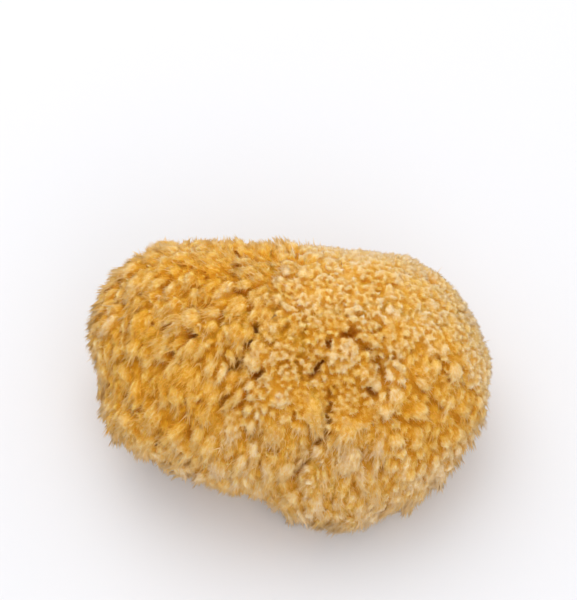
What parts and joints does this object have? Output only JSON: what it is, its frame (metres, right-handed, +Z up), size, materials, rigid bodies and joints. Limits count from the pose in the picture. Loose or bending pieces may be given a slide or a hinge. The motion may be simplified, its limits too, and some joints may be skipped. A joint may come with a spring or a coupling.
{
  "type": "sea sponge",
  "caption": "Natural bath sponge: a lumpy domed body of soft golden fibre tufts with a cleft between its lower lobes, cut off flat underneath so that it rests level; soaks up and holds water.",
  "frame": {"origin": "bottom centre of the bounding box, on the plane of the flat cut base", "axes": "+X along the body's long way, +Y towards the back, away from the full domed face, +Z up out of the cut base"},
  "size_m": [0.154, 0.1094, 0.0835],
  "materials": {
    "spongin": "dry matt natural fibre: golden body, pale straw tuft tips, orange-brown clefts"
  },
  "bodies": {
    "root": {"sea_sponge": "spongin"}
  },
  "joints": []
}
